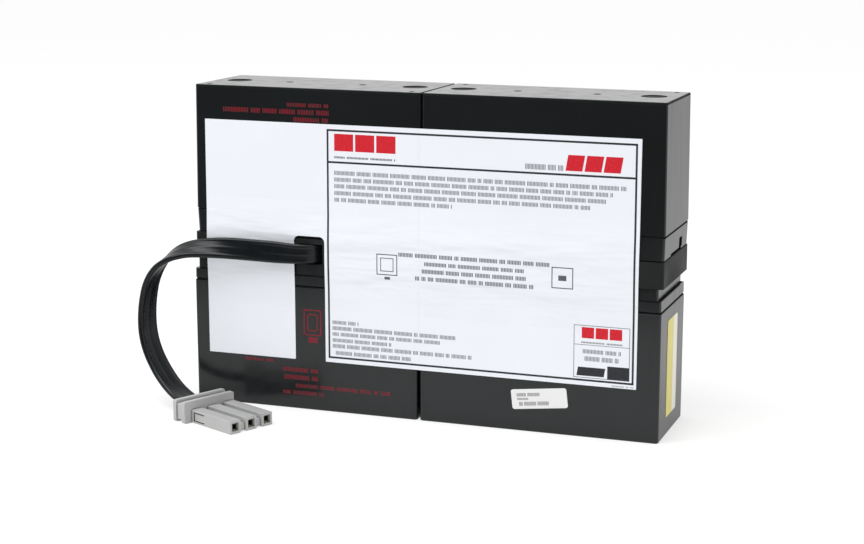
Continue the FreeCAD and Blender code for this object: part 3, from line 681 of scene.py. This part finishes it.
def add_ribbon(cable, material):
    """The flat cable: its section is carried along the line and turned from upright to flat.

    A point is the line's point, plus the place across the section along the turned width, plus the
    section's height along the normal.
    """
    points = smooth_line("ribbon_line", RIBBON_ROUTE)
    headings, width = carry(points, -UP)
    goal = np.cross(headings[-1], UP)
    side = np.cross(headings[-1], width[-1])
    whole = math.atan2(goal.dot(side), goal.dot(width[-1]))
    steps = np.linalg.norm(np.diff(points, axis=0), axis=1)
    share = np.concatenate([[0.0], np.cumsum(steps)]) / steps.sum()
    twist = whole * np.interp(share, *np.array(RIBBON_TWIST).T)[:, None]
    across = width * np.cos(twist) + np.cross(headings, width) * np.sin(twist)
    normal = np.cross(headings, across)
    place, height = ribbon_section(cable)
    reach = np.interp(share, *np.array(RIBBON_WIDTH).T)[:, None, None] * place[None, :, None]
    rings = points[:, None] + across[:, None] * reach + normal[:, None] * height[None, :, None]
    piece = add_piece("ribbon", rings, closed_tube(rings), material, smooth=True)
    add_lengthwise_uv(piece, len(place), share)
    return piece, points


def add_lengthwise_uv(piece, columns, share):
    """UV of a tube: the first number is the share of its length, the second the way round."""
    layer = piece.data.uv_layers.new(name="UVMap")
    corners = np.empty(len(piece.data.loops), int)
    piece.data.loops.foreach_get("vertex_index", corners)
    along = share[corners // columns]
    round_share = (corners % columns) / columns
    layer.data.foreach_set("uv", np.stack([along, round_share], -1).ravel())


# ------------------------------------------------------------------ studio
def add_card(name, corner, along, across, material):
    """A flat card: its corners are a corner, plus either or both of its two sides."""
    a, b = np.meshgrid([0.0, 1.0], [0.0, 1.0], indexing="ij")
    points = np.array(corner) + a[..., None] * np.array(along) + b[..., None] * np.array(across)
    piece = add_mesh(name, points, grid_faces(2, 2).tolist(), material)
    return piece


def add_floor(studio):
    """A white floor that keeps the cartridge's soft shadow, and a dark studio in front of it."""
    finish = Finish("white_floor", (0.9, 0.9, 0.9), 0.9)
    rays = finish.node("ShaderNodeLightPath").outputs
    seen = finish.most(rays["Is Camera Ray"], rays["Is Glossy Ray"])
    strength = finish.ramp(rays["Is Camera Ray"], 0.0, 1.0, studio.mirrored, studio.glow)
    glow = finish.node("ShaderNodeEmission")
    finish.link(strength, glow.inputs["Strength"])
    mixed = finish.node("ShaderNodeMixShader")
    finish.link(finish.ramp(seen, 0.0, 1.0, 0.0, studio.lift), mixed.inputs[0])
    finish.link(finish.shader.outputs["BSDF"], mixed.inputs[1])
    finish.link(glow.outputs["Emission"], mixed.inputs[2])
    output = finish.tree.nodes["Material Output"]
    finish.link(mixed.outputs["Shader"], output.inputs["Surface"])
    front = -studio.sheet_front
    white_left, white_width, white_length = -5.0, 10.0, 6.0
    corner = (white_left, front, 0.0)
    along = (white_width, 0.0, 0.0)
    add_card("floor", corner, along, (0.0, white_length, 0.0), finish.material)
    dark = Finish("dark_studio", (0.012, 0.012, 0.013), 0.9).material
    dark_front, wall_place, wall_half = -3.0, -2.0, 2.6
    cards = (
        add_card(
            "dark_floor", (white_left, dark_front, 0.0), along, (0.0, front - dark_front, 0.0), dark),
        add_card(
            "dark_wall", (-wall_half, wall_place, 0.0), (2 * wall_half, 0.0, 0.0),
            (0.0, 0.0, wall_half), dark),
    )
    for card in cards:
        card.visible_camera = False
        card.visible_diffuse = False
        card.visible_shadow = False


def add_room(context, studio):
    """A white room: full white where it is looked at or mirrored, softer as light."""
    world = bpy.data.worlds.new("room")
    world.use_nodes = True
    context.scene.world = world
    shading = Shading(world.node_tree)
    back = shading.tree.nodes["Background"]
    back.inputs["Color"].default_value = (1.0, 1.0, 1.0, 1.0)
    rays = shading.node("ShaderNodeLightPath").outputs
    seen = shading.most(rays["Is Camera Ray"], rays["Is Glossy Ray"], rays["Is Transmission Ray"])
    shading.link(shading.ramp(seen, 0.0, 1.0, studio.room, 1.0), back.inputs["Strength"])


def add_lamp(studio):
    """One large soft lamp above and in front, to the left, that looks at the cartridge."""
    lamp = bpy.data.lights.new("overhead", "AREA")
    lamp.shape = "RECTANGLE"
    lamp.size = 1.4
    lamp.size_y = 0.9
    lamp.energy = studio.key
    place = np.array([-0.5, -0.6, 1.5])
    aim = np.array([0.0, 0.0, 0.1])
    back = unit(place - aim)
    right = unit(np.cross([0.0, 1.0, 0.0], back))
    holder = place_object("overhead", lamp)
    holder.matrix_world = looking_back(right, np.cross(back, right), back, place)


# --------------------------------------------------------------- operators
class CARTRIDGE_OT_camera(Operator):
    """Place the camera in front of the cartridge"""
    bl_idname = "cartridge.camera"
    bl_label = "Place Camera"

    def execute(self, context):
        view = context.scene.cartridge_view
        camera = bpy.data.cameras.new("camera")
        camera.sensor_width = 36.0
        camera.lens = view.lens
        camera.shift_x, camera.shift_y = view.shift
        camera.clip_end = 20.0
        turn, rise = view.azimuth, view.elevation
        level = math.cos(rise)
        back = np.array([math.sin(turn) * level, -math.cos(turn) * level, math.sin(rise)])
        right = unit(np.cross(-back, UP))
        up = np.cross(back, right)
        rolled_right = right * math.cos(view.roll) + up * math.sin(view.roll)
        rolled_up = up * math.cos(view.roll) - right * math.sin(view.roll)
        place = np.array(view.target) + back * view.distance
        holder = place_object("camera", camera)
        holder.matrix_world = looking_back(rolled_right, rolled_up, back, place)
        context.scene.camera = holder
        return {"FINISHED"}


class CARTRIDGE_OT_cable(Operator):
    """Lay the flat cable from the spacer's outlet to the plug"""
    bl_idname = "cartridge.cable"
    bl_label = "Add Ribbon Cable"

    def execute(self, context):
        cable = context.scene.cartridge_cable
        finish = cable_insulation("ribbon_insulation", context.scene.cartridge_finish.cable)
        piece, points = add_ribbon(cable, finish)
        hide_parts("ribbon_cable")
        return {"FINISHED"}


class CARTRIDGE_OT_batteries(Operator):
    """Finish the containers, lids, vent covers and terminals of the four batteries"""
    bl_idname = "cartridge.batteries"
    bl_label = "Finish Batteries"

    def execute(self, context):
        colours = context.scene.cartridge_finish
        shell = case_plastic("battery_plastic", colours)
        cover = moulded_plastic("vent_cover_plastic", shaded(colours.plastic, 1.3), 0.35)
        tinned = sheet_metal("tinned_tab", (0.72, 0.71, 0.67), 0.3)
        finishes = {
            "_case": shell, "_lid": shell, "_vent_cover": cover,
            "_tab_negative": tinned, "_tab_positive": tinned,
        }
        for battery in BATTERIES:
            for piece, finish in finishes.items():
                dress(battery + piece, finish)
        return {"FINISHED"}


class CARTRIDGE_OT_wiring(Operator):
    """Finish the spacer frame and the wiring inside it"""
    bl_idname = "cartridge.wiring"
    bl_label = "Finish Spacer and Wiring"

    def execute(self, context):
        colours = context.scene.cartridge_finish
        dress("spacer_frame", moulded_plastic("spacer_plastic", colours.spacer, 0.56, shine=0.2))
        dress("seam_pad", closed_foam("seam_foam"))
        link = moulded_plastic("link_cover", (0.35, 0.02, 0.025), 0.4)
        for column in ("left", "right"):
            dress("series_link_" + column, link)
        clip = sheet_metal("receptacle_metal", (0.70, 0.66, 0.55), 0.32)
        for name in ("negative", "positive", "jumper_left", "jumper_right"):
            dress("receptacle_" + name, clip)
        lead = moulded_plastic("lead_insulation", (0.014, 0.015, 0.018), 0.38, grain=500.0)
        for name in ("jumper_wire", "lead_middle", "lead_negative", "lead_positive"):
            dress(name, lead)
        return {"FINISHED"}


class CARTRIDGE_OT_plug(Operator):
    """Finish the plug's housing and its contacts"""
    bl_idname = "cartridge.plug"
    bl_label = "Finish Plug"

    def execute(self, context):
        colours = context.scene.cartridge_finish
        # painted shade: the housing's colour darkens in its latch slits and inner corners
        dress("plug_housing", moulded_plastic(
            "plug_plastic", colours.plug, 0.42, grain=1200.0, grain_depth=0.03 * MM,
            wave_depth=0.03 * MM, crevice_shade_reach=1.6 * MM))
        brass = sheet_metal("contact_brass", (0.27, 0.24, 0.15), 0.42)
        for index in (1, 2, 3):
            dress("plug_contact_" + str(index), brass)
        return {"FINISHED"}


class CARTRIDGE_OT_label(Operator):
    """Finish the front label and lay its print on it"""
    bl_idname = "cartridge.label"
    bl_label = "Add Label Print"

    def execute(self, context):
        colours = context.scene.cartridge_finish
        dress("front_label", label_film("label_film", colours.sheet, LABEL_FOLDS))
        skin = skin_of("front_label")
        print_run = {"black": self.lines(), "red": self.red_fields(), "grey": self.fine_print()}
        for key, fields in print_run.items():
            print_fields("label_" + key, fields, ink(key + "_ink", getattr(colours, key)), skin)
        return {"FINISHED"}

    def lines(self):
        """The frame with its divider, and the dark fields in the lower right corner."""
        fields = border(-61.2, 135.2, 34.9, 179.5, 1.2) + bar(-60.0, 134.0, 158.5, 159.7)
        return fields + bar(119.0, 132.5, 37.2, 45.1) + bar(100.0, 116.9, 38.2, 43.5, 0.9)

    def red_fields(self):
        """Three sets of three plain blocks: upper left, upper right and lower right."""
        fields = []
        for left, right, low, high, slant, pitch in (
                (-56.2, -43.6, 166.2, 176.8, 0.0, 13.9),
                (91.6, 101.9, 161.5, 171.0, 1.6, 11.6),
                (103.0, 110.6, 61.3, 68.0, 0.0, 8.6)):
            for step in range(3):
                fields += bar(left + pitch * step, right + pitch * step, low, high, slant)
        return fields

    def fine_print(self):
        """Plain, bold and tiny rows of ticks, and thin outlines.

        A row is its left, right, low and high edge in millimetres.
        """
        rows = (
            (-56.2, 129.0, 151.3, 154.5), (-56.2, 120.6, 147.2, 150.3), (-56.2, 118.1, 143.1, 146.2),
            (-56.2, 107.5, 138.8, 141.9), (-56.2, 20.9, 134.6, 137.7), (-58.2, -40.8, 57.0, 59.8),
            (-58.2, 23.5, 53.2, 56.2), (-58.2, 13.0, 49.5, 52.3), (-58.2, -18.5, 45.6, 48.4),
            (-58.2, 33.6, 41.8, 44.8), (-56.2, -6.2, 37.4, 40.4), (103.8, 127.6, 52.0, 55.1),
            (105.0, 125.9, 47.4, 50.9), (66.8, 90.2, 161.3, 165.4),
        )
        bold = (
            (-13.8, 83.4, 103.0, 106.1), (3.1, 66.8, 98.2, 101.1), (1.5, 68.6, 93.5, 96.6),
            (-2.9, 73.2, 88.8, 92.0),
        )
        tiny = (
            (-56.2, -15.9, 161.6, 163.2, 0.9, 0.6), (102.8, 128.0, 58.2, 59.4, 0.9, 0.55),
            (121.9, 135.2, 32.9, 34.0, 0.6, 0.25),
        )
        fields = fine_rows(rows, 7) + fine_rows(bold, 31, 0.96, 0.62) + fine_rows(tiny, 51)
        fields += border(-28.3, -14.6, 90.7, 103.9, 0.6) + border(-25.8, -17.1, 93.0, 101.6, 0.5)
        fields += bar(-23.1, -19.5, 88.0, 89.7)
        fields += border(84.0, 97.4, 90.4, 103.4, 0.6) + bar(88.2, 93.2, 95.2, 98.4)
        return fields + border(98.1, 132.6, 36.9, 69.2, 0.35) + bar(98.3, 132.4, 57.1, 57.4)


class CARTRIDGE_OT_case_print(Operator):
    """Stamp the red marks on the left-hand containers"""
    bl_idname = "cartridge.case_print"
    bl_label = "Add Case Print"

    def execute(self, context):
        colours = context.scene.cartridge_finish
        stamp = worn_ink("case_ink", colours.case_red, colours.plastic)
        lower = (
            (-119.0, -98.5, 28.9, 31.2), (-92.8, -68.0, 23.8, 27.2), (-92.0, -68.0, 18.8, 22.4),
            (-84.0, -20.0, 13.8, 16.8), (-92.8, -64.5, 9.2, 12.2),
        )
        upper = (
            (-88.0, -59.5, 192.3, 195.2), (-131.5, -59.5, 187.6, 191.3), (-83.5, -59.5, 183.2, 186.4),
        )
        squares = border(-78.2, -66.0, 48.2, 65.0, 0.9) + border(-75.8, -68.4, 51.0, 62.2, 0.9)
        squares += bar(-75.0, -68.4, 43.6, 47.2)
        for battery, fields, rows in (
                ("battery_lower_left", squares, lower), ("battery_upper_left", [], upper)):
            fields = fields + fine_rows(rows, 70, 1.1, 0.66)
            print_fields(battery + "_marks", fields, stamp, skin_of(battery + "_case"))
        return {"FINISHED"}


class CARTRIDGE_OT_stickers(Operator):
    """Finish the two small stickers and lay print on the front one"""
    bl_idname = "cartridge.stickers"
    bl_label = "Finish Stickers"

    def execute(self, context):
        colours = context.scene.cartridge_finish
        dress("small_sticker", label_film("sticker_film", (0.84, 0.84, 0.84)))
        dress("end_sticker", end_sticker_paper("end_sticker_paper", colours.yellow))
        low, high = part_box("small_sticker")
        rows = ((-14.0, 0.6, 1.6, 4.2), (-14.0, -6.4, -0.6, 1.0), (-13.0, 6.4, -4.2, -1.2))
        fields = fine_rows(rows, 40, 0.6, 0.3)
        flat = (np.array([-1.0, 1.0]), np.zeros(2))
        stamp = ink("sticker_ink", (0.09, 0.09, 0.10))
        piece = print_fields("sticker_print", fields, stamp, flat, lift=0.0)
        # the sticker is turned on the container's front, which leans back a little
        turn = Matrix.Rotation(math.radians(-6.4), 4, "Y")
        lean = Matrix.Rotation(math.radians(0.253), 4, "X")
        middle = ((low.x + high.x) / 2, low.y + 0.003 * MM, (low.z + high.z) / 2)
        piece.data.transform(Matrix.Translation(middle) @ lean @ turn)
        return {"FINISHED"}


class CARTRIDGE_OT_studio(Operator):
    """Set up the floor, the room and the lamp"""
    bl_idname = "cartridge.studio"
    bl_label = "Set Up Studio"

    def execute(self, context):
        studio = context.scene.cartridge_studio
        context.scene.view_settings.view_transform = "Standard"
        add_floor(studio)
        add_room(context, studio)
        add_lamp(studio)
        return {"FINISHED"}


class CARTRIDGE_PT_panel(Panel):
    """Lists the steps that finish the cartridge, with its sizes and colours"""
    bl_label = "Battery Cartridge"
    bl_idname = "CARTRIDGE_PT_panel"
    bl_space_type = "VIEW_3D"
    bl_region_type = "UI"
    bl_category = "Cartridge"

    def draw(self, context):
        for step in STEPS:
            self.layout.operator(step.bl_idname)
        for name in GROUPS:
            group = getattr(context.scene, "cartridge_" + name)
            box = self.layout.box()
            for key in group.__annotations__:
                box.prop(group, key)


STEPS = (
    CARTRIDGE_OT_camera, CARTRIDGE_OT_cable, CARTRIDGE_OT_batteries, CARTRIDGE_OT_wiring,
    CARTRIDGE_OT_plug, CARTRIDGE_OT_label, CARTRIDGE_OT_case_print, CARTRIDGE_OT_stickers,
    CARTRIDGE_OT_studio,
)
GROUPS = {
    "view": CartridgeView, "cable": CartridgeCable, "finish": CartridgeFinish,
    "studio": CartridgeStudio,
}


def register():
    """Registers the classes and puts their groups of sizes on the scene."""
    for group in (*GROUPS.values(), *STEPS, CARTRIDGE_PT_panel):
        bpy.utils.register_class(group)
    for name, group in GROUPS.items():
        setattr(bpy.types.Scene, "cartridge_" + name, PointerProperty(type=group))


def unregister():
    """Takes the groups of sizes and the classes away again."""
    for name in GROUPS:
        delattr(bpy.types.Scene, "cartridge_" + name)
    for group in (CARTRIDGE_PT_panel, *reversed(STEPS), *reversed(GROUPS.values())):
        bpy.utils.unregister_class(group)


def main():
    """Runs every step."""
    register()
    for step in STEPS:
        family, name = step.bl_idname.split(".")
        getattr(getattr(bpy.ops, family), name)()


if __name__ == "__main__":
    main()
